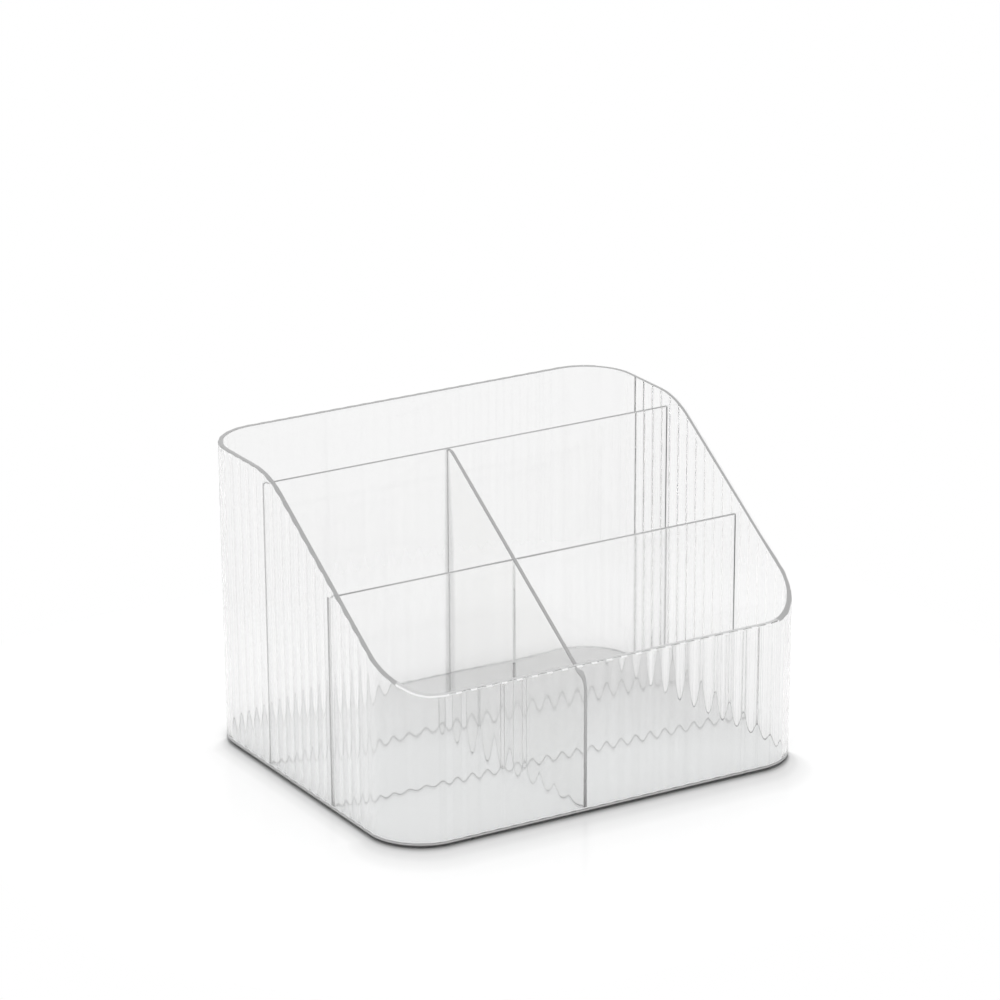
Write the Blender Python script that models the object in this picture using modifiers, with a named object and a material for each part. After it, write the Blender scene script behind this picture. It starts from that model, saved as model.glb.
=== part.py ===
"""Clear fluted organizer with five compartments.

A flat base plate carries one fluted wall with rounded corners, and three upright
dividers stand inside it. Units are metres. +Z is up, the low front wall faces -Y,
and the origin is the middle of the underside.
"""
import math

import bmesh
import bpy

# Outer shell
WIDTH = 0.190
DEPTH = 0.1580
BACK_HEIGHT = 0.1254
FRONT_HEIGHT = 0.0620
CORNER_RADIUS = 0.0229
WALL_THICKNESS = 0.0020
BASE_THICKNESS = 0.0018
UNDERSIDE_EDGE_RADIUS = 0.0012
DRAFT_ANGLE = math.radians(0.4)

# Flutes, which run up the outside of the wall
FLUTE_PITCH = 0.0066
FLUTE_DEPTH = 0.0003
POINTS_PER_FLUTE = 6

# Side rims: level at the back, then a straight slope down to the front rim
REAR_LEVEL_REACH = 0.0574
FRONT_LEVEL_REACH = 0.0023
REAR_BEND_RADIUS = 0.0385
FRONT_BEND_RADIUS = 0.0092

# Dividers, which are a little thinner at the top than at the foot
DIVIDER_TOP_THICKNESS = 0.0015
DIVIDER_FOOT_THICKNESS = 0.0017
REAR_DIVIDER_Y = 0.0270
REAR_DIVIDER_RISE = 0.0001739
FRONT_DIVIDER_Y = -0.0244
FRONT_DIVIDER_DROP = 0.0073316
CENTRE_DIVIDER_X = -0.0105
CENTRE_LEVEL_REACH = 0.0024
CENTRE_BEND_RADIUS = 0.0050
CENTRE_NOSE_RADIUS = 0.0080

# Clearance where two pieces meet, and the overrun of a cutter past what it cuts
JOINT_GAP = 0.0003
CUT_OVERRUN = 0.0050

# Smoothness of the bends and of the underside's edge, in steps for a quarter turn
STEPS_PER_QUARTER = 12
UNDERSIDE_EDGE_STEPS = 4

# Points nearer than this are one point
WELD_DISTANCE = 0.000002

RIM_SLOPE = (BACK_HEIGHT - FRONT_HEIGHT) / (DEPTH - REAR_LEVEL_REACH - FRONT_LEVEL_REACH)
WALL_FOOT = BASE_THICKNESS + JOINT_GAP

# The front divider lies a drop below the line of the side rims, the centre one slopes up from it
# beside that line, and the rear one rises just past the centre one's level end
SLOPE_FOOT_Y = FRONT_LEVEL_REACH - DEPTH / 2
FRONT_DIVIDER_TOP = FRONT_HEIGHT + (FRONT_DIVIDER_Y - SLOPE_FOOT_Y) * RIM_SLOPE - FRONT_DIVIDER_DROP
CENTRE_LEVEL_Y = REAR_DIVIDER_Y - DIVIDER_TOP_THICKNESS / 2 - JOINT_GAP - CENTRE_LEVEL_REACH
CENTRE_DIVIDER_TOP = FRONT_DIVIDER_TOP + (CENTRE_LEVEL_Y - FRONT_DIVIDER_Y) * RIM_SLOPE
REAR_DIVIDER_TOP = CENTRE_DIVIDER_TOP + REAR_DIVIDER_RISE
LAP_HEIGHT = (BASE_THICKNESS + FRONT_DIVIDER_TOP) / 2

UPRIGHT_ACROSS = (math.radians(90), 0, 0)
UPRIGHT_ALONG = (math.radians(90), 0, math.radians(90))


def clear_scene():
    """Remove what a new file starts with."""
    for thing in list(bpy.data.objects):
        bpy.data.objects.remove(thing, do_unlink=True)


def new_collection(name):
    collection = bpy.data.collections.new(name)
    bpy.context.scene.collection.children.link(collection)
    return collection


def clear_plastic(name, tint, roughness):
    """Colourless rigid plastic that light passes through."""
    material = bpy.data.materials.new(name)
    material.use_nodes = True
    shader = material.node_tree.nodes["Principled BSDF"]
    shader.inputs["Base Color"].default_value = (*tint, 1)
    shader.inputs["Roughness"].default_value = roughness
    shader.inputs["Metallic"].default_value = 0
    shader.inputs["Transmission Weight"].default_value = 1
    material.diffuse_color = (*tint, 1)
    return material


def shell_share(height):
    """Size of the shell's plan at a height, as a share of its plan at the rim."""
    return 1 - 2 * (BACK_HEIGHT - height) * math.tan(DRAFT_ANGLE) / WIDTH


def inside_half_width(height):
    return (WIDTH / 2 - WALL_THICKNESS) * shell_share(height)


def inside_half_depth(height):
    return (DEPTH / 2 - WALL_THICKNESS) * shell_share(height)


def divider_thickness(height):
    """Thickness of every divider at a height above the ground."""
    rise_share = (height - WALL_FOOT) / (REAR_DIVIDER_TOP - WALL_FOOT)
    return DIVIDER_FOOT_THICKNESS + (DIVIDER_TOP_THICKNESS - DIVIDER_FOOT_THICKNESS) * rise_share


def divider_slope_height(y):
    """Height of the centre divider's sloping edge, parallel to the side rims."""
    return FRONT_DIVIDER_TOP + (y - FRONT_DIVIDER_Y) * RIM_SLOPE


def rounded_outline(corners):
    """Points of a closed outline from (x, y, radius) corners, with an arc at each one."""
    points = []
    count = len(corners)
    for index, (x, y, radius) in enumerate(corners):
        before = corners[index - 1]
        after = corners[(index + 1) % count]
        if not radius:
            points.append((x, y))
            continue
        heading_in = math.atan2(y - before[1], x - before[0])
        heading_out = math.atan2(after[1] - y, after[0] - x)
        turn = math.remainder(heading_out - heading_in, math.tau)
        side = math.copysign(1, turn)
        tangent = radius * math.tan(abs(turn) / 2)
        start_x = x - tangent * math.cos(heading_in)
        start_y = y - tangent * math.sin(heading_in)
        centre_x = start_x - side * radius * math.sin(heading_in)
        centre_y = start_y + side * radius * math.cos(heading_in)
        steps = max(2, round(abs(turn) / math.radians(90) * STEPS_PER_QUARTER))
        for step in range(steps + 1):
            heading = heading_in + turn * step / steps
            points.append((centre_x + side * radius * math.sin(heading),
                           centre_y - side * radius * math.cos(heading)))
    return points


def plan_outline(inset):
    """Rounded rectangle of the shell at the rim's height, drawn in by an inset."""
    half_width = WIDTH / 2 - inset
    half_depth = DEPTH / 2 - inset
    radius = CORNER_RADIUS - inset
    return rounded_outline([(half_width, -half_depth, radius), (half_width, half_depth, radius),
                            (-half_width, half_depth, radius), (-half_width, -half_depth, radius)])


def fluted_outline():
    """The shell's outline with a wave of flutes cut into it, crest to crest."""
    straight_x = WIDTH / 2 - CORNER_RADIUS
    straight_y = DEPTH / 2 - CORNER_RADIUS
    quarter = CORNER_RADIUS * math.pi / 2
    # Each run is its length, its start, its heading and whether it bends to the left.
    runs = [(straight_x, (0, -DEPTH / 2), 0, False),
            (quarter, (straight_x, -DEPTH / 2), 0, True),
            (2 * straight_y, (WIDTH / 2, -straight_y), 90, False),
            (quarter, (WIDTH / 2, straight_y), 90, True),
            (2 * straight_x, (straight_x, DEPTH / 2), 180, False),
            (quarter, (-straight_x, DEPTH / 2), 180, True),
            (2 * straight_y, (-WIDTH / 2, straight_y), 270, False),
            (quarter, (-WIDTH / 2, -straight_y), 270, True),
            (straight_x, (-straight_x, -DEPTH / 2), 0, False)]
    perimeter = sum(run[0] for run in runs)
    # An even number of flutes puts a crest at the middle of the front and of the back.
    count = 2 * round(perimeter / FLUTE_PITCH / 2) * POINTS_PER_FLUTE
    points = []
    for index in range(count):
        travelled = perimeter * index / count
        for length, (x, y), degrees, bends in runs:
            if travelled < length:
                break
            travelled -= length
        heading = math.radians(degrees)
        if bends:
            turn = travelled / CORNER_RADIUS
            x += CORNER_RADIUS * (math.sin(heading + turn) - math.sin(heading))
            y += CORNER_RADIUS * (math.cos(heading) - math.cos(heading + turn))
            heading += turn
        else:
            x += travelled * math.cos(heading)
            y += travelled * math.sin(heading)
        dip = FLUTE_DEPTH * (1 - math.cos(math.tau * index / POINTS_PER_FLUTE)) / 2
        points.append((x - dip * math.sin(heading), y + dip * math.cos(heading)))
    return points


def slab(name, outline, thickness, turn, collection):
    """Solid plate with a closed outline, centred on its own middle plane."""
    curve = bpy.data.curves.new(name, "CURVE")
    curve.dimensions = "2D"
    curve.fill_mode = "NONE"
    curve.extrude = thickness / 2
    spline = curve.splines.new("POLY")
    spline.points.add(len(outline) - 1)
    for point, (x, y) in zip(spline.points, outline):
        point.co = (x, y, 0, 1)
    spline.use_cyclic_u = True
    guide = bpy.data.objects.new(name + "_guide", curve)
    guide.rotation_euler = turn
    bpy.context.scene.collection.objects.link(guide)
    graph = bpy.context.evaluated_depsgraph_get()
    mesh = bpy.data.meshes.new_from_object(guide.evaluated_get(graph))
    mesh.transform(guide.matrix_world)
    bpy.data.objects.remove(guide, do_unlink=True)
    # Each open end gets one face, because a filled curve would split the flutes into slivers.
    work = bmesh.new()
    work.from_mesh(mesh)
    bmesh.ops.remove_doubles(work, verts=work.verts, dist=WELD_DISTANCE)
    bmesh.ops.holes_fill(work, edges=work.edges)
    bmesh.ops.recalc_face_normals(work, faces=work.faces)
    work.to_mesh(mesh)
    work.free()
    mesh.name = name
    solid = bpy.data.objects.new(name, mesh)
    collection.objects.link(solid)
    return solid


def raise_solid(solid, height):
    """Lift a slab's mesh so that its world place stays in its points."""
    for vertex in solid.data.vertices:
        vertex.co.z += height


def draw_in_with_draft(solid):
    """Narrow the plan towards the foot, as the wall's draft does."""
    for vertex in solid.data.vertices:
        share = shell_share(vertex.co.z)
        vertex.co.x *= share
        vertex.co.y *= share


def thin_towards_top(solid, axis):
    """Give a divider its thickness at each height, about its middle plane."""
    for vertex in solid.data.vertices:
        side = math.copysign(1, vertex.co[axis])
        vertex.co[axis] = side * divider_thickness(vertex.co.z) / 2


def cut_by(solid, cutter):
    """Take a cutter out of a solid."""
    cutter.hide_render = True
    cutter.display_type = "WIRE"
    modifier = solid.modifiers.new("cut_by_" + cutter.name, "BOOLEAN")
    modifier.operation = "DIFFERENCE"
    modifier.solver = "EXACT"
    modifier.object = cutter


def make_base_plate(parts):
    """Flat floor with a plain edge, rounded where it meets the ground."""
    plate = slab("base_plate", plan_outline(0), BASE_THICKNESS, (0, 0, 0), parts)
    raise_solid(plate, BASE_THICKNESS / 2)
    draw_in_with_draft(plate)
    weight = plate.data.attributes.new("bevel_weight_edge", "FLOAT", "EDGE")
    for edge in plate.data.edges:
        if all(plate.data.vertices[index].co.z < UNDERSIDE_EDGE_RADIUS for index in edge.vertices):
            weight.data[edge.index].value = 1
    rounding = plate.modifiers.new("underside_edge", "BEVEL")
    rounding.width = UNDERSIDE_EDGE_RADIUS
    rounding.segments = UNDERSIDE_EDGE_STEPS
    rounding.limit_method = "WEIGHT"
    return plate


def rim_cutter(cutters):
    """Everything above the rim, as one slab across the whole width."""
    top = BACK_HEIGHT + CUT_OVERRUN
    front = -DEPTH / 2 - CUT_OVERRUN
    slope_foot = -DEPTH / 2 + FRONT_LEVEL_REACH
    slope_top = DEPTH / 2 - REAR_LEVEL_REACH
    over_back = DEPTH / 2 + CUT_OVERRUN
    outline = rounded_outline([(front, FRONT_HEIGHT, 0), (slope_foot, FRONT_HEIGHT, FRONT_BEND_RADIUS),
                               (slope_top, BACK_HEIGHT, REAR_BEND_RADIUS), (over_back, BACK_HEIGHT, 0),
                               (over_back, top, 0), (front, top, 0)])
    return slab("rim_cutter", outline, WIDTH + 2 * CUT_OVERRUN, UPRIGHT_ALONG, cutters)


def make_fluted_wall(parts, cutters):
    """Ring with flutes outside and a smooth inside, cut down to the bent rim."""
    height = BACK_HEIGHT + CUT_OVERRUN / 2 - WALL_FOOT
    middle = WALL_FOOT + height / 2
    wall = slab("fluted_wall", fluted_outline(), height, (0, 0, 0), parts)
    inside = slab("inside_cutter", plan_outline(WALL_THICKNESS), height + 2 * CUT_OVERRUN, (0, 0, 0), cutters)
    for solid in (wall, inside):
        raise_solid(solid, middle)
        draw_in_with_draft(solid)
    cut_by(wall, inside)
    cut_by(wall, rim_cutter(cutters))
    return wall


def cross_divider(name, y, top, notch, parts):
    """Full-width panel, with an optional (x, width, floor) notch open at its top."""
    foot_reach = inside_half_width(WALL_FOOT) - JOINT_GAP
    top_reach = inside_half_width(top) - JOINT_GAP
    outline = [(-foot_reach, WALL_FOOT), (foot_reach, WALL_FOOT), (top_reach, top)]
    if notch:
        x, width, floor = notch
        outline += [(x + width / 2, top), (x + width / 2, floor), (x - width / 2, floor), (x - width / 2, top)]
    outline.append((-top_reach, top))
    panel = slab(name, outline, DIVIDER_FOOT_THICKNESS, UPRIGHT_ACROSS, parts)
    thin_towards_top(panel, 1)
    panel.location.y = y
    return panel


def make_front_divider(parts):
    """Low panel, notched from above where the centre divider crosses it."""
    floor = LAP_HEIGHT - JOINT_GAP / 2
    notch = (CENTRE_DIVIDER_X, divider_thickness(floor) + 2 * JOINT_GAP, floor)
    return cross_divider("front_divider", FRONT_DIVIDER_Y, FRONT_DIVIDER_TOP, notch, parts)


def make_centre_divider(parts):
    """Sloping panel from the rear divider to the front wall, notched from below."""
    def rear_end(height):
        return REAR_DIVIDER_Y - divider_thickness(height) / 2 - JOINT_GAP

    def front_end(height):
        return JOINT_GAP - inside_half_depth(height)

    nose_z = divider_slope_height(front_end(FRONT_HEIGHT))
    notch_reach = divider_thickness(WALL_FOOT) / 2 + JOINT_GAP
    notch_top = LAP_HEIGHT + JOINT_GAP / 2
    outline = rounded_outline([(front_end(WALL_FOOT), WALL_FOOT, 0),
                               (FRONT_DIVIDER_Y - notch_reach, WALL_FOOT, 0),
                               (FRONT_DIVIDER_Y - notch_reach, notch_top, 0),
                               (FRONT_DIVIDER_Y + notch_reach, notch_top, 0),
                               (FRONT_DIVIDER_Y + notch_reach, WALL_FOOT, 0),
                               (rear_end(WALL_FOOT), WALL_FOOT, 0),
                               (rear_end(CENTRE_DIVIDER_TOP), CENTRE_DIVIDER_TOP, 0),
                               (CENTRE_LEVEL_Y, CENTRE_DIVIDER_TOP, CENTRE_BEND_RADIUS),
                               (front_end(nose_z), nose_z, CENTRE_NOSE_RADIUS)])
    panel = slab("centre_divider", outline, DIVIDER_FOOT_THICKNESS, UPRIGHT_ALONG, parts)
    thin_towards_top(panel, 0)
    panel.location.x = CENTRE_DIVIDER_X
    return panel


def main():
    clear_scene()
    parts = new_collection("fluted_organizer")
    cutters = new_collection("cutters")
    wall_tint = (0.93, 0.94, 0.94)
    floor_tint = (0.88, 0.91, 0.92)
    divider_tint = (0.91, 0.92, 0.92)
    make_base_plate(parts).data.materials.append(clear_plastic("clear_base", floor_tint, 0.08))
    make_fluted_wall(parts, cutters).data.materials.append(clear_plastic("clear_wall", wall_tint, 0.05))
    rear = cross_divider("rear_divider", REAR_DIVIDER_Y, REAR_DIVIDER_TOP, None, parts)
    for panel in (rear, make_front_divider(parts), make_centre_divider(parts)):
        panel.data.materials.append(clear_plastic("clear_" + panel.name, divider_tint, 0.05))


main()
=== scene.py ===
# %% [markdown]
# # A clear fluted organizer
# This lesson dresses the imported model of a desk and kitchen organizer. The real one is
# moulded in clear, colourless plastic: a flat base, one wall with flutes up its outside, and
# three upright dividers. Clear plastic has almost no colour of its own. What the eye reads is
# how it bends, mirrors and soaks up the light round it, so the shapes have to be smooth and
# exact, and the studio matters as much as the material.

# %% Load the fixed frame
import math

import bmesh
import bpy
from mathutils import Matrix, Vector


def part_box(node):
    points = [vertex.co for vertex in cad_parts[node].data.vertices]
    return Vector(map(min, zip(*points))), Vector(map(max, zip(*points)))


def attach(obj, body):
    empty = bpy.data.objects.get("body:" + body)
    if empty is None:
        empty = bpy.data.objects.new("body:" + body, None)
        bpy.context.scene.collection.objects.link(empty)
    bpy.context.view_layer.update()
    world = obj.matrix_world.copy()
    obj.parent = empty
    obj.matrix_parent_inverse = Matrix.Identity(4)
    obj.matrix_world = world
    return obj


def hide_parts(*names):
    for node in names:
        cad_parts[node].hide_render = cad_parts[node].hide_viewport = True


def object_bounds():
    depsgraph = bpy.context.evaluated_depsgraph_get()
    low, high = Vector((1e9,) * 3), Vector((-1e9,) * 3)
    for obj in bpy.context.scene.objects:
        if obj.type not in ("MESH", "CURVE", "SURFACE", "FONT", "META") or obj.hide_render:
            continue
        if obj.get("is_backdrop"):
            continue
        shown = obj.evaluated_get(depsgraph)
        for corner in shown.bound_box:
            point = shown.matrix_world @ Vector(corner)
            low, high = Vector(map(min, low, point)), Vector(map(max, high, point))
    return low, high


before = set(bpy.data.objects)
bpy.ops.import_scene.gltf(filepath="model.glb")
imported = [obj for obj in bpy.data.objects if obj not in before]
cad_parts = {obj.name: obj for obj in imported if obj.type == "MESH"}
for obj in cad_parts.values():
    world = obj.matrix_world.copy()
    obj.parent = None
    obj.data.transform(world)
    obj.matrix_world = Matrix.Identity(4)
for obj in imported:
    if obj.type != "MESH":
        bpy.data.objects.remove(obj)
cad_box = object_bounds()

print("nodes:", sorted(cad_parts))

# %% [markdown]
# ## Sizes
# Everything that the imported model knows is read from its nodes' boxes, so each piece here
# stays in register with it. The rest are the same few driving sizes that a drawing of the
# organizer would carry.

# %% Sizes read from the frame
MM = 0.001
wall_low, wall_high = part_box("fluted_wall")
base_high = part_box("base_plate")[1]
rear_low, rear_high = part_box("rear_divider")
front_low, front_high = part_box("front_divider")
centre_low, centre_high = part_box("centre_divider")

width = 2 * wall_high.x
depth = 2 * wall_high.y
back_height = wall_high.z
base_top = base_high.z
wall_foot = wall_low.z
rear_y = (rear_low.y + rear_high.y) / 2
front_y = (front_low.y + front_high.y) / 2
centre_x = (centre_low.x + centre_high.x) / 2
print(f"plan at the back rim {width / MM:.1f} x {depth / MM:.1f} mm, {back_height / MM:.1f} mm high")

# %% Sizes of the form
corner_radius = 22.9 * MM
wall_thickness = 2.0 * MM
draft = math.radians(0.4)
front_height = 62.0 * MM
rear_level_reach = 57.4 * MM
front_level_reach = 2.3 * MM
rear_bend_radius = 38.5 * MM
front_bend_radius = 9.2 * MM
underside_radius = 1.2 * MM
flute_count = 100
flutes_along = {"half_front": 10.68, "corner": 5.66, "side": 17.0}
front_flute_depth = 0.31 * MM
left_flute_depths = 0.37 * MM, 0.31 * MM
right_flute_depths = 0.22 * MM, 0.345 * MM
corner_flute_depth = 0.16 * MM
divider_top_thickness = 1.5 * MM
divider_foot_thickness = 1.7 * MM
centre_bend_radius = 5.0 * MM
centre_nose_radius = 8.0 * MM
joint_gap = 0.05 * MM
print(f"wall {wall_thickness / MM:.1f} mm thick, front rim {front_height / MM:.0f} mm high")

# %% [markdown]
# ## The plan and the draft
# Seen from above, the organizer is a rectangle with round corners. A mould needs draft: the
# walls lean out a little towards the top, so the part slides off its core. Both are formulas,
# so that any number of points can be read from them.

# %% Plan and draft
def shell_share(height):
    """Size of the plan at a height, as a share of its size at the back rim."""
    return 1 - 2 * (back_height - height) * math.tan(draft) / width


def plan_runs():
    """The plan's straight and round stretches: length, start, heading and whether it bends."""
    x, y, r = width / 2, depth / 2, corner_radius
    quarter = r * math.pi / 2
    return [(x - r, (0, -y), 0, False), (quarter, (x - r, -y), 0, True),
            (2 * (y - r), (x, r - y), 90, False), (quarter, (x, y - r), 90, True),
            (2 * (x - r), (x - r, y), 180, False), (quarter, (r - x, y), 180, True),
            (2 * (y - r), (-x, y - r), 270, False), (quarter, (-x, r - y), 270, True),
            (x - r, (r - x, -y), 0, False)]


runs = plan_runs()
perimeter = sum(run[0] for run in runs)


def plan_point(travelled):
    """Point on the plan, the direction inward and whether the plan bends, from mid front."""
    for length, (x, y), degrees, bends in runs:
        if travelled < length:
            break
        travelled -= length
    heading = math.radians(degrees)
    if bends:
        turn = travelled / corner_radius
        x += corner_radius * (math.sin(heading + turn) - math.sin(heading))
        y += corner_radius * (math.cos(heading) - math.cos(heading + turn))
        heading += turn
    else:
        x += travelled * math.cos(heading)
        y += travelled * math.sin(heading)
    return Vector((x, y)), Vector((-math.sin(heading), math.cos(heading))), bends


def drawn_in(point, height):
    """A plan point at a height, with the draft taken up."""
    share = shell_share(height)
    return Vector((point.x * share, point.y * share, height))


print(f"perimeter {perimeter / MM:.0f} mm")

# %% [markdown]
# ## The rim line
# The side rims are level at the back, bend down into a straight slope, and bend again to
# meet the low front rim. Two arcs join the three straight stretches.

# %% Rim line
slope_top = depth / 2 - rear_level_reach
slope_foot = front_level_reach - depth / 2
rim_slope = (back_height - front_height) / (slope_top - slope_foot)
rim_angle = math.atan(rim_slope)


def rim_height(y):
    """Height of the rim at a distance from the middle, front to back."""
    foot_reach = front_bend_radius * math.tan(rim_angle / 2)
    top_reach = rear_bend_radius * math.tan(rim_angle / 2)
    if y > slope_top + top_reach:
        return back_height
    if y > slope_top - top_reach * math.cos(rim_angle):
        run = y - slope_top - top_reach
        return back_height - rear_bend_radius + math.sqrt(rear_bend_radius ** 2 - run ** 2)
    if y > slope_foot + foot_reach * math.cos(rim_angle):
        return front_height + (y - slope_foot) * rim_slope
    run = max(y - slope_foot + foot_reach, 0)
    return front_height + front_bend_radius - math.sqrt(front_bend_radius ** 2 - run ** 2)


print(f"rim slope {math.degrees(rim_angle):.1f} degrees")

# %% [markdown]
# ## The fluted wall
# Each flute is one smooth wave in the outer face, and the inner face is plain. Two routes are
# common: a bump map, which is cheap, or real geometry. Light that passes through clear
# plastic bends at the true surface, and the waves in the divider feet that show through the
# front come from that, so the flutes here are geometry. The wall is a section, drawn once for
# each step along the plan, and the sections are joined all the way round.
#
# The rim and the foot look unlike the clear faces: light that enters there is held inside the
# plastic and reads as grey, so they get a painted grey, and a few edges a painted highlight. So
# each face of the section is given the number of its finish while the sections are joined, and
# the materials are put in those places later.

# %% Mesh helpers
steps_per_edge = 4


def piece_from(name, work):
    """Turn mesh code into a smooth piece in the scene."""
    bmesh.ops.recalc_face_normals(work, faces=work.faces)
    mesh = bpy.data.meshes.new(name)
    work.to_mesh(mesh)
    work.free()
    mesh.shade_smooth()
    piece = bpy.data.objects.new(name, mesh)
    bpy.context.scene.collection.objects.link(piece)
    return piece


def weigh_normals(piece):
    """Let large faces set the shading, so that flat faces stay flat beside round edges."""
    modifier = piece.modifiers.new("face_weighted_shading", "WEIGHTED_NORMAL")
    modifier.mode = "FACE_AREA"
    modifier.weight = 100
    modifier.keep_sharp = True


def joined_round(work, sections, finish_of, closed=True):
    """Faces between each section and the next, the last with the first, with their finishes."""
    columns = [[work.verts.new(point) for point in section] for section in sections]
    for index, column in enumerate(columns):
        before = columns[index - 1]
        for step in range(0 if closed else 1, len(column)):
            corners = before[step - 1], before[step], column[step], column[step - 1]
            work.faces.new(corners).material_index = finish_of(index, step)
    return columns


def quarter_arc():
    """Angles of the points on a rounded edge."""
    return [math.radians(90) * step / steps_per_edge for step in range(steps_per_edge + 1)]


print("points on a rounded edge:", len(quarter_arc()))

# %% Where the flutes stand, and how deep they are
points_per_flute = 16
half_flutes = [flutes_along[name] for name in ("half_front", "corner", "side", "corner")]
half_flutes.append(flute_count / 2 - sum(half_flutes))
half_lengths = [runs[0][0], runs[1][0], runs[2][0], runs[3][0], runs[4][0] / 2]
side_from = width / 2 - corner_radius / 2


def flute_place(flutes):
    """Distance along the plan after some flutes. Each stretch has its own even pitch."""
    near = min(flutes, flute_count - flutes)
    place = 0
    for count, length in zip(half_flutes, half_lengths):
        place += length * min(near / count, 1)
        near -= min(near, count)
    return place if flutes * 2 < flute_count else perimeter - place


def flute_depth_at(travelled):
    """Depth of the flutes, which are deepest along the straights and shallower in corners."""
    edges = [runs[0][0]]
    for run in runs[1:-1]:
        edges.append(edges[-1] + run[0])
    nearest = min(abs(travelled - edge) for edge in edges)
    point, _, bends = plan_point(travelled)
    straight_depth = front_flute_depth
    if abs(point.x) > side_from:
        at_front, at_back = left_flute_depths if point.x < 0 else right_flute_depths
        straight_depth = at_front + (at_back - at_front) * (point.y / depth + 0.5)
    corner_pitch = half_lengths[1] / half_flutes[1]
    blend = min(nearest / corner_pitch, 1) / 2
    share = 0.5 + blend if bends else 0.5 - blend
    return straight_depth + (corner_flute_depth - straight_depth) * share


print(f"flute pitch along the front {half_lengths[0] / half_flutes[0] / MM:.2f} mm")

# %% Section of the wall
rim_outer_radius = 0.45 * MM
rim_inner_radius = 0.25 * MM
wall_start = base_top + joint_gap
foot_band = 0.45 * MM
foot_glint = 0.40 * MM
pale_rim_from = 13.0 * MM - depth / 2
pale_rim_full = 36.0 * MM - depth / 2


def rim_point(base, inward, inset, drop):
    """Point under the rim line at an inset from the plan."""
    flat = base + inward * inset
    height = rim_height(flat.y)
    # The draft moves the point along the slope, so its height takes a few rounds to settle.
    for _ in range(3):
        height = rim_height(flat.y * shell_share(height))
    return drawn_in(flat, height - drop)


def wall_section(index):
    """Closed section of the wall at one step along the plan, from the inner foot outwards."""
    travelled = flute_place(index / points_per_flute)
    base, inward, _ = plan_point(travelled)
    wave = (1 - math.cos(math.tau * index / points_per_flute)) / 2
    dip = flute_depth_at(travelled) * wave
    section = [drawn_in(base + inward * wall_thickness, wall_start)]
    for rise in (0, foot_band, foot_band + foot_glint):
        section.append(drawn_in(base + inward * dip, wall_start + rise))
    for angle in quarter_arc():
        inset = dip + rim_outer_radius * (1 - math.cos(angle))
        drop = rim_outer_radius * (1 - math.sin(angle))
        section.append(rim_point(base, inward, inset, drop))
    pale_share = min(max((base.y - pale_rim_from) / (pale_rim_full - pale_rim_from), 0), 1)
    inset = max(dip + rim_outer_radius, pale_share * wall_thickness / 2)
    section.append(rim_point(base, inward, inset, 0))
    for angle in quarter_arc():
        inset = wall_thickness - rim_inner_radius * (1 - math.sin(angle))
        drop = rim_inner_radius * (1 - math.cos(angle))
        section.append(rim_point(base, inward, inset, drop))
    return section


print("points in a section:", len(wall_section(0)))

# %% Finishes of the wall's faces
CLEAR, GREY_RIM, PALE_RIM, PAINTED_LIGHT, FOOT_ON_SHOW, FAR_FOOT = range(6)
foot_step, glint_step = 2, 3
rim_steps = range(5, 7 + 2 * steps_per_edge)
mid_rim_step = rim_steps.start + steps_per_edge
left_corner_reach = 0.4 * corner_radius
right_corner_reach = 0.05 * corner_radius
right_rim_from = width / 2 - corner_radius / 3
crest_highlight_points = 6


def on_show(place):
    """Whether a place is along the front or the left, round to the right front corner."""
    return place.y < left_corner_reach - depth / 2 or place.x < corner_radius - width / 2


def wall_finish(index, step):
    """Finish of a face, by its place along the plan and its step round the section.

    The rim is painted grey along the back and the slopes, with painted light on the outer half
    on the right. Along the front its inner part is a paler painted grey, and its outer edge has a
    painted highlight on each flute's crest and round the left front corner.
    """
    place = plan_point(flute_place(index / points_per_flute))[0]
    # The strip at the wall's foot is painted grey, and on the front and the left it lets less light
    # through to the table.
    if step == foot_step:
        return FOOT_ON_SHOW if on_show(place) else FAR_FOOT
    # A painted highlight on the strip above the foot, on the front and the left.
    if step == glint_step:
        return PAINTED_LIGHT if on_show(place) else CLEAR
    if step not in rim_steps:
        return CLEAR
    if place.y + depth / 2 > (left_corner_reach if place.x < 0 else right_corner_reach):
        is_pale = place.x > right_rim_from and place.y > pale_rim_from
        return PAINTED_LIGHT if is_pale and step <= mid_rim_step else GREY_RIM
    if step >= mid_rim_step:
        return PALE_RIM
    # Painted highlight: a white dash on the rim's outer edge at each flute's crest.
    crest_highlight = (index + crest_highlight_points // 2) % points_per_flute < crest_highlight_points
    return PAINTED_LIGHT if crest_highlight or place.x < corner_radius - width / 2 else CLEAR


print("steps across the rim:", len(rim_steps))

# %% Fluted wall
def make_wall():
    work = bmesh.new()
    sections = [wall_section(index) for index in range(flute_count * points_per_flute)]
    joined_round(work, sections, wall_finish)
    wall = piece_from("clear_fluted_wall", work)
    weigh_normals(wall)
    return wall


wall = make_wall()
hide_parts("fluted_wall")
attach(wall, "root")
print(f"{flute_count} flutes, {len(wall.data.polygons)} faces")

# %% [markdown]
# ## The base
# The base is a plate with a plain edge. Its lower edge is rounded. Where it meets the table a
# dark line shows: partly real shade under the edge, partly shade painted on the edge and on the
# table. The section method works here too, with one face closing the top and one the underside.

# %% Base plate
EDGE_ON_SHOW, FAR_EDGE = 1, 2
base_edge_radius = 0.25 * MM
points_round_base = 480


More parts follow.
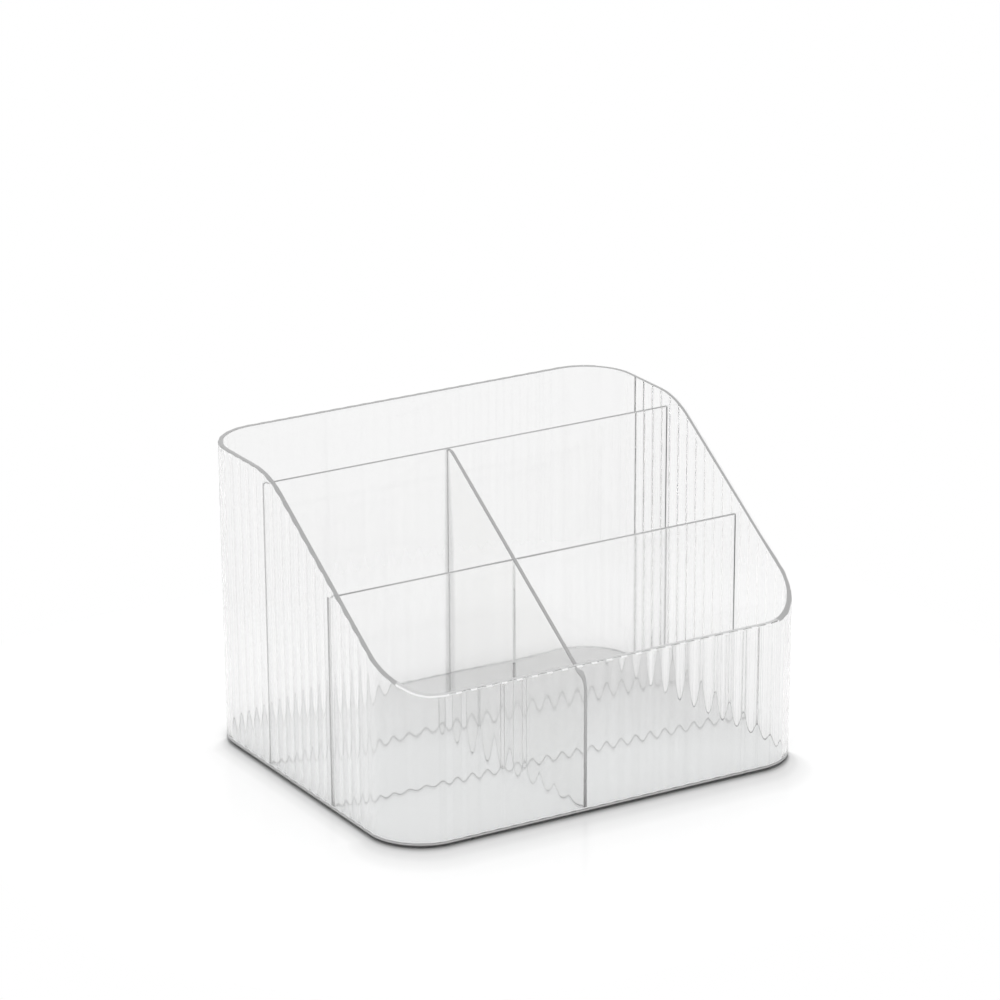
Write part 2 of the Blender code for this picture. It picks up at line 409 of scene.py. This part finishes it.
def base_section(index):
    """Open section of the plate's edge, from the underside to the top face."""
    base, inward, _ = plan_point(perimeter * index / points_round_base)
    section = []
    for angle in quarter_arc():
        inset = underside_radius * (1 - math.sin(angle))
        height = underside_radius * (1 - math.cos(angle))
        section.append(drawn_in(base + inward * inset, height))
    for angle in quarter_arc():
        inset = base_edge_radius * (1 - math.cos(angle))
        height = base_top - base_edge_radius * (1 - math.sin(angle))
        section.append(drawn_in(base + inward * inset, height))
    return section


def base_finish(index, step):
    """Finish of a face of the plate's edge, with the darker painted shade on the front and the left.
    """
    place = plan_point(perimeter * index / points_round_base)[0]
    return EDGE_ON_SHOW if on_show(place) else FAR_EDGE


def make_base():
    work = bmesh.new()
    sections = [base_section(index) for index in range(points_round_base)]
    columns = joined_round(work, sections, base_finish, closed=False)
    work.faces.new([column[0] for column in columns])
    work.faces.new([column[-1] for column in reversed(columns)])
    plate = piece_from("clear_base_plate", work)
    weigh_normals(plate)
    return plate


base = make_base()
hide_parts("base_plate")
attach(base, "root")
print(f"base: {len(base.data.polygons)} faces")

# %% [markdown]
# ## The dividers
# The dividers are thin panels, thicker at the foot. Two run across, and one runs from the
# rear divider to the front wall and slopes like the side rims. The centre one crosses the
# front one in a half lap: each is notched to half its height. Each panel is an outline given
# a thickness, and a Bevel modifier rounds its edges, which catch the light on the real one.
# Its narrow faces and its two ends get painted greys, and the faces in the lap a finish of their own.

# %% Divider outlines
arc_step = math.radians(6)
fewest_arc_steps = 3


def divider_thickness(height):
    """Thickness of every divider at a height above the ground."""
    rise_share = (height - wall_foot) / (rear_high.z - wall_foot)
    return divider_foot_thickness + (divider_top_thickness - divider_foot_thickness) * rise_share


def inside_half_width(height):
    return (width / 2 - wall_thickness) * shell_share(height)


def inside_half_depth(height):
    return (depth / 2 - wall_thickness) * shell_share(height)


def rounded(corners):
    """Outline from (x, y, radius) corners, with an arc at each corner that has a radius."""
    points = []
    for index, (x, y, radius) in enumerate(corners):
        if not radius:
            points.append((x, y))
            continue
        before = corners[index - 1]
        after = corners[(index + 1) % len(corners)]
        heading = math.atan2(y - before[1], x - before[0])
        turn = math.remainder(math.atan2(after[1] - y, after[0] - x) - heading, math.tau)
        side = math.copysign(1, turn)
        reach = radius * math.tan(abs(turn) / 2)
        centre_x = x - reach * math.cos(heading) - side * radius * math.sin(heading)
        centre_y = y - reach * math.sin(heading) + side * radius * math.cos(heading)
        steps = max(fewest_arc_steps, round(abs(turn) / arc_step))
        for step in range(steps + 1):
            angle = heading + turn * step / steps
            points.append((centre_x + side * radius * math.sin(angle),
                           centre_y - side * radius * math.cos(angle)))
    return points


print(f"dividers {divider_thickness(wall_foot) / MM:.1f} mm thick at the foot")

# %% Divider panels
PANEL_EDGE, PANEL_LAP, PANEL_END = 1, 2, 3
divider_edge_radius = 0.2 * MM
lap_height = (base_top + front_high.z) / 2


def make_panel(name, outline, place, lap_at=math.inf, ends=()):
    """Solid panel from an outline of (along, height), laid out by place(along, across, height).

    The lap is near lap_at along the panel, and ends numbers the outline's faces at its ends.
    """
    work = bmesh.new()
    soft = work.edges.layers.float.new("bevel_weight_edge")
    sides = []
    for side in (-0.5, 0.5):
        sides.append([work.verts.new(place(along, side * divider_thickness(height), height))
                      for along, height in outline])
    near, far = sides
    work.faces.new(near)
    work.faces.new(list(reversed(far)))
    for index, (along, height) in enumerate(outline):
        face = work.faces.new((near[index - 1], near[index], far[index], far[index - 1]))
        along_before, height_before = outline[index - 1]
        in_lap = max(abs(along_before - lap_at), abs(along - lap_at)) < divider_foot_thickness
        upright_in_lap = in_lap and height != height_before
        face.material_index = PANEL_LAP if upright_in_lap else PANEL_EDGE
        if index in ends:
            face.material_index = PANEL_END
        for side in sides:
            work.edges.get((side[index - 1], side[index]))[soft] = 0 if in_lap else 1
    panel = piece_from(name, work)
    bevel = panel.modifiers.new("soft_edges", "BEVEL")
    bevel.width = divider_edge_radius
    bevel.segments = 3
    bevel.limit_method = "WEIGHT"
    weigh_normals(panel)
    return panel


def make_cross_panel(name, y, top, notch, lap_at=math.inf):
    """Panel from side wall to side wall, with the points of a notch in its top edge."""
    foot_reach = inside_half_width(wall_foot) - joint_gap
    top_reach = inside_half_width(top) - joint_gap
    foot_corners = [(-foot_reach, wall_foot), (foot_reach, wall_foot)]
    outline = foot_corners + [(top_reach, top)] + notch + [(-top_reach, top)]

    def place(along, across, height):
        return Vector((along, y + across, height))

    return make_panel(name, outline, place, lap_at, ends=(0, len(foot_corners)))


def make_front_panel():
    top = front_high.z
    floor = lap_height - joint_gap / 2
    reach = divider_thickness(floor) / 2 + joint_gap
    left, right = centre_x - reach, centre_x + reach
    notch = [(right, top), (right, floor), (left, floor), (left, top)]
    return make_cross_panel("clear_front_panel", front_y, top, notch, centre_x)


def make_centre_panel():
    """Sloping panel, notched from below over the front one."""
    def slope_height(y):
        return front_high.z + (y - front_y) * rim_slope

    def rear_end(height):
        return rear_y - divider_thickness(height) / 2 - joint_gap

    def front_end(height):
        return joint_gap - inside_half_depth(height)

    def place(along, across, height):
        return Vector((centre_x + across, along, height))

    top = centre_high.z
    level_from = front_y + (top - front_high.z) / rim_slope
    nose = slope_height(front_end(front_height))
    reach = divider_thickness(wall_foot) / 2 + joint_gap
    notch_top = lap_height + joint_gap / 2
    outline = rounded([(front_end(wall_foot), wall_foot, 0), (front_y - reach, wall_foot, 0),
                       (front_y - reach, notch_top, 0), (front_y + reach, notch_top, 0),
                       (front_y + reach, wall_foot, 0), (rear_end(wall_foot), wall_foot, 0),
                       (rear_end(top), top, 0), (level_from, top, centre_bend_radius),
                       (front_end(nose), nose, centre_nose_radius)])
    return make_panel("clear_centre_panel", outline, place, front_y)


panels = {"rear_divider": make_cross_panel("clear_rear_panel", rear_y, rear_high.z, []),
          "front_divider": make_front_panel(),
          "centre_divider": make_centre_panel()}
for node, panel in panels.items():
    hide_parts(node)
    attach(panel, "root")
    print(node, len(panel.data.polygons), "faces")

# %% [markdown]
# ## Shader maths as Python
# A small class wraps a node's socket, so that arithmetic on values reads like arithmetic:
# each operator makes the Math node it stands for. One function, node, makes every other node
# from its type, its settings and what goes into its sockets.

# %% Socket wrapper
class Value:
    """A socket that can be added to, scaled and so on, each of which makes a Math node."""

    def __init__(self, tree, socket):
        self.tree = tree
        self.socket = socket

    def _maths(self, operation, first, second):
        return node(self.tree, "ShaderNodeMath", {"operation": operation}, {0: first, 1: second})

    def __add__(self, other):
        return self._maths("ADD", self, other)

    def __mul__(self, other):
        return self._maths("MULTIPLY", self, other)

    def __sub__(self, other):
        return self._maths("SUBTRACT", self, other)

    def __truediv__(self, other):
        return self._maths("DIVIDE", self, other)

    def __rsub__(self, other):
        return self._maths("SUBTRACT", other, self)

    __radd__ = __add__
    __rmul__ = __mul__


def node(tree, kind, settings, sockets, output=0):
    """Make a node, apply its settings, then fill its sockets with values or links."""
    made = tree.nodes.new(kind)
    for name, value in settings.items():
        if name == "stops":
            made.color_ramp.elements.remove(made.color_ramp.elements[1])
            made.color_ramp.elements[0].position, made.color_ramp.elements[0].color = value[0]
            for position, colour in value[1:]:
                made.color_ramp.elements.new(position).color = colour
        else:
            setattr(made, name, value)
    for name, value in sockets.items():
        if isinstance(value, Value):
            tree.links.new(value.socket, made.inputs[name])
        else:
            made.inputs[name].default_value = value
    return Value(tree, made.outputs[output]) if made.outputs else None


# %% Short names for the nodes used most
def grey(share):
    return share, share, share, 1


def mixed(tree, factor, first, second):
    """Colour between two colours."""
    return node(tree, "ShaderNodeMix", {"data_type": "RGBA"}, {0: factor, 6: first, 7: second}, 2)


def blended(tree, share, first, second):
    """Shader between two shaders."""
    return node(tree, "ShaderNodeMixShader", {}, {0: share, 1: first, 2: second})


def vector_maths(tree, operation, first, second=(0, 0, 0), output="Vector"):
    settings = {"operation": operation}
    return node(tree, "ShaderNodeVectorMath", settings, {0: first, 1: second}, output)


def object_place(tree):
    return node(tree, "ShaderNodeTexCoord", {}, {}, "Object")


def part_of(tree, place, axis):
    return node(tree, "ShaderNodeSeparateXYZ", {}, {0: place}, axis)


def light_path(tree, question):
    return node(tree, "ShaderNodeLightPath", {}, {}, question)


def noise(tree, place, scale, detail):
    """Smooth noise, mostly between 0 and 1 and 0.5 on average."""
    sockets = {"Vector": place, "Scale": scale, "Detail": detail}
    return node(tree, "ShaderNodeTexNoise", {}, sockets, "Fac")


def step_up(tree, value, start, end):
    """Share that rises from 0 to 1 between two values."""
    return node(tree, "ShaderNodeMapRange", {}, {0: value, 1: start, 2: end})


def bare_material(name):
    """A material with no nodes yet, and its node tree."""
    material = bpy.data.materials.new(name)
    material.use_nodes = True
    material.node_tree.nodes.clear()
    return material, material.node_tree


print("materials so far:", len(bpy.data.materials))

# %% [markdown]
# ## Clear plastic
# The Principled shader bends and mirrors light as clear plastic does. Light can't find its way
# through bent surfaces without a lot of noise, so shadow rays and the soft light between
# surfaces pass straight through a Transparent shader with a faint tint instead.
#
# Moulded plastic isn't even: it has a slight haze, and light bent by the flutes shows as faint
# upright streaks. The haze and the streaks are noise that is stretched upwards: the haze
# roughens the surface, and the streaks are painted into the tint as light and shade. Zones of
# painted shade and light have a tint of their own.

# %% Clear plastic
plastic_ior = 1.53
streak_scale, streak_rise, streak_contrast = 330.0, 0.004, 3.0
haze_scale, wave_scale, mark_rise = 60.0, 45.0, 0.05
wave_height = 0.006 * MM


def drawn_up(tree, place, rise):
    """Place with its height scaled down, so that noise in it is drawn out upwards."""
    return vector_maths(tree, "MULTIPLY", place, (1, 1, rise))


def painted_streaks(tree, place):
    """Faint upright streaks of painted light and shade, for light bent by the flutes, from 0 to 1."""
    streaks = noise(tree, drawn_up(tree, place, streak_rise), streak_scale, detail=2.0)
    return streak_contrast * streaks - (streak_contrast - 1) / 2


def let_light_through(tree, seen, shade):
    """What sight meets, and a plain tint for shadows and the soft light between surfaces."""
    passed = node(tree, "ShaderNodeBsdfTransparent", {}, {"Color": grey(shade)})
    for_shadow = blended(tree, light_path(tree, "Is Shadow Ray"), seen, passed)
    for_light = blended(tree, light_path(tree, "Is Diffuse Ray"), for_shadow, passed)
    node(tree, "ShaderNodeOutputMaterial", {}, {"Surface": for_light})


def clear_plastic(name, thin, thick, roughness, shade, clearness, zone=None, zone_tint=None):
    """Colourless plastic with painted streaks of light and shade between two tints, and a painted
    zone.
    """
    material, tree = bare_material(name)
    place = object_place(tree)
    drawn = drawn_up(tree, place, mark_rise)
    haze = noise(tree, drawn, haze_scale, detail=1.0)
    waves = noise(tree, drawn, wave_scale, detail=1.0)
    relief = {"Strength": 1.0, "Distance": wave_height, "Height": waves}
    tint = mixed(tree, painted_streaks(tree, place), thin, thick)
    if zone:
        tint = mixed(tree, zone(tree, place), tint, zone_tint)
    plastic = node(tree, "ShaderNodeBsdfPrincipled", {},
                   {"Base Color": tint, "Roughness": roughness * (haze + 0.5),
                    "IOR": plastic_ior, "Transmission Weight": clearness,
                    "Normal": node(tree, "ShaderNodeBump", {}, relief)})
    let_light_through(tree, plastic, shade)
    return material


print("index of refraction:", plastic_ior)

# %% [markdown]
# ## Zones of painted shade and light
# Where a panel meets its neighbour, a band of painted shade shows that is wider at the foot. The
# foot of the wall and of the panels has a little painted shade too, and the front of the base is
# paler with painted light. Each is a share from 0 to 1, worked out from the place on the piece.

# %% Zones
# Shares of painted shade: low on the centre panel, at the rear panel's right end, and at the wall's
# foot and right side.
centre_foot_grey = 0.22
rear_end_grey = 0.2
wall_foot_grey = 0.6
wall_side_grey = 0.7
joint_shade_fade = 0.4 * MM
base_tint_slant = 0.6


def low_part(tree, place, start, end):
    """Share that falls from 1 to 0 between two heights."""
    return 1 - step_up(tree, part_of(tree, place, "Z"), start, end)


def joint_shade_width(tree, place, foot, top, start, end):
    """Width of the band of painted shade where panels meet, which narrows between two heights."""
    return foot - (foot - top) * step_up(tree, part_of(tree, place, "Z"), start, end)


def painted_centre_shade(tree, place):
    """Painted shade at the rear end of the centre panel, and a little of it low on the panel."""
    band = joint_shade_width(tree, place, foot=4.4 * MM, top=1.0 * MM, start=80 * MM, end=119 * MM)
    panel_end = rear_y - divider_foot_thickness / 2
    joint_shade = step_up(tree, part_of(tree, place, "Y") + band, panel_end, rear_y)
    return joint_shade + centre_foot_grey * low_part(tree, place, start=30 * MM, end=80 * MM)


def painted_rear_shade(tree, place):
    """Painted shade on the rear panel beside the centre one, and a little of it low on the right."""
    band = joint_shade_width(tree, place, foot=1.5 * MM, top=0.3 * MM, start=20 * MM, end=119 * MM)
    across = part_of(tree, place, "X")
    left = centre_x - divider_foot_thickness / 2
    from_left = step_up(tree, across + band, left, left + joint_shade_fade)
    past_right = step_up(tree, across, centre_x, centre_x + joint_shade_fade)
    right_end = step_up(tree, across, 58 * MM, 92 * MM)
    low = low_part(tree, place, start=30 * MM, end=115 * MM)
    return from_left - past_right + rear_end_grey * right_end * low


def painted_front_light(tree, place):
    """Share of the paler front of the base, painted light that reaches further back on the left."""
    along = part_of(tree, place, "Y") + base_tint_slant * part_of(tree, place, "X")
    return 1 - step_up(tree, along, -10 * MM, 90 * MM)


def painted_back_shade(tree, place):
    """Share of the painted shade at the back of the wall, at its foot and on its right side."""
    half_depth, half_width = depth / 2, width / 2
    back = step_up(tree, part_of(tree, place, "Y"), half_depth - 30 * MM, half_depth - 4 * MM)
    side = step_up(tree, part_of(tree, place, "X"), half_width - 15 * MM, half_width - 4 * MM)
    low = low_part(tree, place, start=10 * MM, end=60 * MM)
    return back + wall_foot_grey * low + wall_side_grey * side


print(f"weld of the rear divider at {rear_y / MM:.1f} mm, of the centre one at {centre_x / MM:.1f} mm")

# %% [markdown]
# ## Narrow faces
# The rim, the panel edges and the base's edge draw the object's outline in greys: light that
# gets in there runs along inside the plastic instead of out to the eye. A nearly solid painted
# grey with soft gloss stands for that. On the base the grey changes with height, and seen from
# inside the plastic its edge is clear, or it would darken the floor.

# %% Narrow faces
edge_roughness = 0.2
edge_gloss = 0.25
edge_haze_scale = 90.0


def plastic_edge(name, stops, shade=0.6, clearness=0.1, clear_inside=False):
    """Narrow faces with painted greys from (share of the base's thickness, grey) stops."""
    material, tree = bare_material(name)
    place = object_place(tree)
    greys = [(position, grey(share)) for position, share in stops]
    rise = part_of(tree, place, "Z") * (1 / base_top)
    haze = noise(tree, place, edge_haze_scale, detail=3.0)
    edge = node(tree, "ShaderNodeBsdfPrincipled", {},
                {"Base Color": node(tree, "ShaderNodeValToRGB", {"stops": greys}, {0: rise}),
                 "Roughness": edge_roughness + edge_roughness * haze, "IOR": plastic_ior,
                 "Specular IOR Level": edge_gloss, "Transmission Weight": clearness})
    if clear_inside:
        plastic = node(tree, "ShaderNodeBsdfPrincipled", {},
                       {"Base Color": grey(0.97), "Roughness": 0.05, "IOR": plastic_ior,
                        "Transmission Weight": 0.97})
        behind = node(tree, "ShaderNodeNewGeometry", {}, {}, "Backfacing")
        edge = blended(tree, behind, edge, plastic)
    let_light_through(tree, edge, shade)
    return material


def bonded_faces(name, tint):
    """Faces that are joined to another piece, where light passes straight on."""
    material, tree = bare_material(name)
    passed = node(tree, "ShaderNodeBsdfTransparent", {}, {"Color": grey(tint)})
    node(tree, "ShaderNodeOutputMaterial", {}, {"Surface": passed})
    return material


print(f"greys of an edge rise over {base_top / MM:.1f} mm")

# %% [markdown]
# ## Dressing the pieces
# Clear plastic needs very little tint: one pass through it takes one to three percent of the
# light. The base's tint is far darker, a painted shade for the table under it, darker towards the
# back and paler at the front with painted light. The front divider is a little hazier than the
# others, so what stands behind it looks softer. Each piece's materials follow the numbers that
# its faces were given.

# %% Finishes
panel_look = {"shade": 0.95, "clearness": 0.98}
pale_tints = grey(0.995), grey(0.98)
centre_tints = (0.985, 0.985, 0.98, 1), (0.97, 0.97, 0.965, 1)

# The zone tints paint shade on the wall and the panels, and light at the front of the base.
wall_plastic = clear_plastic("clear_wall", grey(0.985), grey(0.96), roughness=0.012, shade=0.93,
                             clearness=0.965, zone=painted_back_shade, zone_tint=grey(0.94))
base_plastic = clear_plastic("clear_base", grey(0.76), grey(0.74), roughness=0.03, shade=0.93,
                             clearness=0.97, zone=painted_front_light, zone_tint=(0.985, 1.0, 1.0, 1))
front_plastic = clear_plastic("clear_divider", *pale_tints, roughness=0.05, **panel_look)
rear_plastic = clear_plastic("clear_rear_divider", *pale_tints, roughness=0.012, **panel_look,
                             zone=painted_rear_shade, zone_tint=grey(0.75))
centre_plastic = clear_plastic("clear_centre_divider", *centre_tints, roughness=0.012,
                               **panel_look, zone=painted_centre_shade, zone_tint=grey(0.8))

# Painted greys for light held inside the plastic: the rim and the panel edges, darker panel ends and a
# paler front rim.
painted_edge_grey = plastic_edge("clear_edge", [(0, 0.46)])
painted_end_grey = plastic_edge("clear_panel_end", [(0, 0.25)])
painted_pale_grey = plastic_edge("clear_pale_edge", [(0, 0.66)])
# Near-white painted light: a painted highlight on the front rim's crests, round the left front corner
# and above the wall's foot, and painted light on the right rim's outer half and in the centre panel's
# lap.
painted_light_edge = plastic_edge("painted_light_edge", [(0, 0.97)], shade=0.8, clearness=0.05)
# Painted greys on the base's edge by height, with a dark line of painted shade low down where it meets
# the table. The far side's edge gets a lighter painted grey.
base_edge_greys = [(0, 0.15), (0.30, 0.12), (0.42, 0.05), (0.56, 0.05), (0.72, 0.24),
                   (0.86, 0.52), (1, 0.60)]
base_edge = plastic_edge("clear_base_edge", base_edge_greys, shade=0.2, clear_inside=True)
far_base_edge = plastic_edge("clear_far_base_edge", [(0, 0.2), (0.4, 0.3), (1, 0.6)], shade=0.93,
                             clear_inside=True)
bonded = bonded_faces("clear_bond", 0.82)
print(len(bpy.data.materials), "materials")

# %% Dress the pieces
finishes = {wall: [wall_plastic, painted_edge_grey, painted_pale_grey, painted_light_edge, base_edge, far_base_edge],
            base: [base_plastic, base_edge, far_base_edge],
            panels["rear_divider"]: [rear_plastic, painted_edge_grey, bonded, painted_end_grey],
            panels["front_divider"]: [front_plastic, painted_edge_grey, bonded, painted_end_grey],
            panels["centre_divider"]: [centre_plastic, painted_edge_grey, painted_light_edge]}
for piece, materials in finishes.items():
    for material in materials:
        piece.data.materials.append(material)
    print(piece.name, len(materials), "finishes")

# %% [markdown]
# ## The table
# The table is plain white. Light that comes through clear plastic makes its shadow faint, so the
# shade round the base is painted into the table's colour: a narrow dark line in under the edge,
# and a soft shade that fades within a few centimetres on the front and the left. The painted shade
# is a ramp over the distance from the base's outline, which a little vector maths gives: it is the
# distance from a rectangle whose corners are round. Away from the organizer, the table is as white
# as the room for the camera, and for what is seen by reflection or through the plastic.

# %% Shade round the base
# Pairs of millimetres from the base's outline, towards the shade side, and share of the table's colour
# that the painted shade leaves.
painted_contact_shade = [(-2.6, 1.0), (-1.6, 0.32), (-0.8, 0.32), (0.34, 0.47), (1.5, 0.58),
                 (2.6, 0.70), (3.8, 0.765), (6.0, 0.80), (8.3, 0.80), (10.6, 0.83),
                 (14.0, 0.885), (19.7, 0.928), (25.4, 0.98), (40.0, 1.0)]
shade_side = (-0.40, -0.86, 0)
least_facing = 0.02


def lesser(tree, first, second):
    return node(tree, "ShaderNodeMath", {"operation": "MINIMUM"}, {0: first, 1: second})


def greater(tree, first, second):
    return node(tree, "ShaderNodeMath", {"operation": "MAXIMUM"}, {0: first, 1: second})


def round_the_base(tree):
    """Distance from the base's outline, negative under it, and its share to the shade side."""
    place = object_place(tree)
    straight = (base_high.x - corner_radius, base_high.y - corner_radius, 0)
    beyond = vector_maths(tree, "SUBTRACT", vector_maths(tree, "ABSOLUTE", place), straight)
    outside = vector_maths(tree, "MAXIMUM", beyond)
    away = vector_maths(tree, "LENGTH", outside, output="Value") - corner_radius
    heading = vector_maths(tree, "NORMALIZE", outside)
    outward = vector_maths(tree, "MULTIPLY", heading, vector_maths(tree, "SIGN", place))
    facing = vector_maths(tree, "DOT_PRODUCT", outward, shade_side, "Value")
    return away, facing


def painted_shade_share(tree, away, facing):
    """Share of the table's colour that the painted shade round the base leaves."""
    first, last = painted_contact_shade[0][0] * MM, painted_contact_shade[-1][0] * MM
    stops = [((stop * MM - first) / (last - first), grey(share)) for stop, share in painted_contact_shade]
    reach = step_up(tree, away / greater(tree, facing, least_facing), first, last)
    return node(tree, "ShaderNodeValToRGB", {"stops": stops}, {0: reach})


print(f"the shade reaches {painted_contact_shade[-1][0]:.0f} mm on its side")

# %% Table
table_reach = 6.0
table_white = 0.97
sheen_share, sheen_roughness = 0.15, 0.18
glow_strength = 0.1
glow_reach = 20 * MM
white_from, white_full = 80 * MM, 140 * MM


def table_material():
    """White with a soft sheen, a little glow of its own, and the painted shade round the base."""
    material, tree = bare_material("white_table")
    away, facing = round_the_base(tree)
    directly = light_path(tree, "Is Camera Ray")
    seen = directly + light_path(tree, "Is Glossy Ray") + light_path(tree, "Is Transmission Ray")
    matt = node(tree, "ShaderNodeBsdfDiffuse", {}, {"Color": grey(table_white)})
    sheen = node(tree, "ShaderNodeBsdfGlossy", {},
                 {"Color": grey(1), "Roughness": sheen_roughness})
    surface = blended(tree, sheen_share, matt, sheen)
    glow = node(tree, "ShaderNodeEmission", {}, {"Color": grey(1), "Strength": glow_strength})
    lifted = node(tree, "ShaderNodeAddShader", {}, {0: surface, 1: glow})
    seen_outside = lesser(tree, seen, step_up(tree, away, 0.0, glow_reach))
    in_view = blended(tree, greater(tree, directly, seen_outside), surface, lifted)
    # Painted shadow: black, mixed in by the ramp round the base.
    dark = node(tree, "ShaderNodeBsdfDiffuse", {}, {"Color": grey(0)})
    shaded = blended(tree, painted_shade_share(tree, away, facing), dark, in_view)
    white = node(tree, "ShaderNodeEmission", {}, {"Color": grey(1), "Strength": 1.0})
    plain = lesser(tree, seen, step_up(tree, away, white_from, white_full))
    whole = blended(tree, plain, shaded, white)
    node(tree, "ShaderNodeOutputMaterial", {}, {"Surface": whole})
    return material


def make_table():
    work = bmesh.new()
    corners = [work.verts.new((x * table_reach, y * table_reach, 0))
               for x, y in ((-1, -1), (1, -1), (1, 1), (-1, 1))]
    work.faces.new(corners)
    table = piece_from("white_table", work)
    table.data.materials.append(table_material())
    return table


table = make_table()
table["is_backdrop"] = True
print(f"table {2 * table_reach:.0f} m wide")

# %% [markdown]
# ## The room
# A white world of strength 1 lights everything evenly, as a light tent does in a studio. Lamps
# were tried and left out: on clear plastic they add glints that the real photograph lacks.

# %% Room
world = bpy.data.worlds.new("white_room")
bpy.context.scene.world = world
world.use_nodes = True
world.node_tree.nodes.clear()
sky = node(world.node_tree, "ShaderNodeBackground", {}, {"Color": grey(1), "Strength": 1.0})
node(world.node_tree, "ShaderNodeOutputWorld", {}, {"Surface": sky})
print("world:", world.name)

# %% [markdown]
# ## The camera
# The photograph was taken from the left front, a little above the rim, through a long lens.

# %% Camera
sensor = 36.0
focal_pixels = 5075.2
image_pixels = 1000
camera_distance = 2.0023
azimuth = math.radians(-30.837)
elevation = math.radians(19.094)
roll = math.radians(-0.238)
target = Vector((-0.0024, 0, 0.10414))

camera_data = bpy.data.cameras.new("photo_camera")
camera_data.sensor_width = sensor
camera_data.lens = focal_pixels / image_pixels * sensor
camera_data.clip_start = 0.1
camera_data.clip_end = 50
camera = bpy.data.objects.new("photo_camera", camera_data)
bpy.context.scene.collection.objects.link(camera)
view = Vector((-math.sin(azimuth) * math.cos(elevation),
               math.cos(azimuth) * math.cos(elevation),
               -math.sin(elevation)))
right = Vector((math.cos(azimuth), math.sin(azimuth), 0))
up = right.cross(view)
turned_right = right * math.cos(roll) + up * math.sin(roll)
turned_up = up * math.cos(roll) - right * math.sin(roll)
frame_axes = Matrix((turned_right, turned_up, -view)).transposed()
camera.matrix_world = Matrix.Translation(target - view * camera_distance) @ frame_axes.to_4x4()
bpy.context.scene.camera = camera
print(f"lens {camera_data.lens:.0f} mm, {camera_distance:.2f} m from the organizer")

# %% [markdown]
# ## Render settings
# Light that runs inside clear plastic is turned back many times before it gets out. With too
# few bounces it ends there and leaves black lines, so the limits are set high.

# %% Render settings
scene = bpy.context.scene
scene.view_settings.view_transform = "Standard"
scene.cycles.max_bounces = 40
scene.cycles.transmission_bounces = 40
scene.cycles.glossy_bounces = 12
scene.cycles.transparent_max_bounces = 40
scene.cycles.caustics_reflective = False
scene.cycles.caustics_refractive = False
scene.cycles.blur_glossy = 0
scene.cycles.use_denoising = True
print("bounces:", scene.cycles.max_bounces)

# %% [markdown]
# ## Sizes, for comparison
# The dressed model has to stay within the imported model's box, so both boxes go to a file.

# %% Sizes, for comparison, and the end
def corners(box):
    return [[round(value, 6) for value in corner] for corner in box]


{"cad": corners(cad_box), "visual": corners(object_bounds())}
print("dressed model:", corners(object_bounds()))
